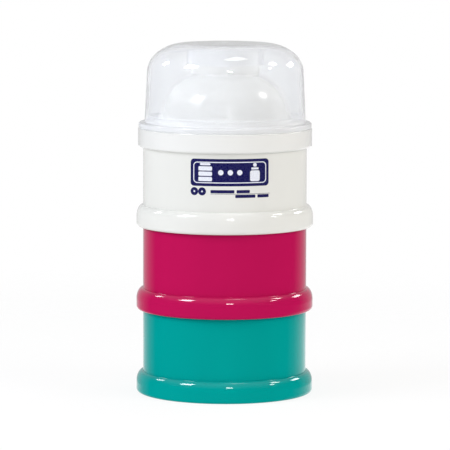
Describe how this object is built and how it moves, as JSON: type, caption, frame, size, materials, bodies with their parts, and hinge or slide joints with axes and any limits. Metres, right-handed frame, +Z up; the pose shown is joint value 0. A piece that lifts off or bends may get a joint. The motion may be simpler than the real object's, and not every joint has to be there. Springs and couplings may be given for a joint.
{
  "type": "formula dispenser",
  "caption": "Stacking milk powder dispenser: screw-together cups, a funnel lid with a pouring spout and a clear dome cap.",
  "frame": {"origin": "centre of the foot circle that the bottom cup stands on", "axes": "+Z up along the stack's axis, -Y towards the printed front, +X to the right seen from the front"},
  "size_m": [0.08, 0.08, 0.1586],
  "materials": {
    "teal_plastic": "moulded polypropylene, polished, teal",
    "magenta_plastic": "moulded polypropylene, polished, magenta",
    "white_plastic": "moulded polypropylene, polished, white",
    "natural_plastic": "moulded natural polypropylene, milky",
    "clear_plastic": "moulded clarified polypropylene, transparent",
    "seal_silicone": "translucent silicone"
  },
  "bodies": {
    "bottom_tier": {"bottom_cup": "teal_plastic"},
    "lower_seal_ring": {"lower_seal": "seal_silicone"},
    "middle_tier": {"middle_cup": "magenta_plastic"},
    "upper_seal_ring": {"upper_seal": "seal_silicone"},
    "top_tier": {"top_cup": "white_plastic"},
    "funnel_seal_ring": {"funnel_seal": "seal_silicone"},
    "funnel": {"funnel_lid": "natural_plastic"},
    "dome": {"dome_cap": "clear_plastic"}
  },
  "joints": [
    {"name": "lower_rise", "type": "slide", "parent": "bottom_tier", "child": "lower_seal_ring", "axis": [0, 0, 1], "range_m": [0, 0.00501]},
    {"name": "lower_screw", "type": "hinge", "parent": "lower_seal_ring", "child": "middle_tier", "pos_m": [0, 0, 0.0424], "axis": [0, 0, 1], "range_deg": [0, 300]},
    {"name": "upper_rise", "type": "slide", "parent": "middle_tier", "child": "upper_seal_ring", "axis": [0, 0, 1], "range_m": [0, 0.00501]},
    {"name": "upper_screw", "type": "hinge", "parent": "upper_seal_ring", "child": "top_tier", "pos_m": [0, 0, 0.0802], "axis": [0, 0, 1], "range_deg": [0, 300]},
    {"name": "funnel_rise", "type": "slide", "parent": "top_tier", "child": "funnel_seal_ring", "axis": [0, 0, 1], "range_m": [0, 0.00501]},
    {"name": "funnel_screw", "type": "hinge", "parent": "funnel_seal_ring", "child": "funnel", "pos_m": [0, 0, 0.118], "axis": [0, 0, 1], "range_deg": [0, 300]},
    {"name": "dome_lift", "type": "slide", "parent": "funnel", "child": "dome", "axis": [0, 0, 1], "range_m": [0, 0.046]}
  ],
  "couplings": [
    {"joint": "lower_rise", "follows": "lower_screw", "m_per_rad": 0.00095493},
    {"joint": "upper_rise", "follows": "upper_screw", "m_per_rad": 0.00095493},
    {"joint": "funnel_rise", "follows": "funnel_screw", "m_per_rad": 0.00095493}
  ]
}
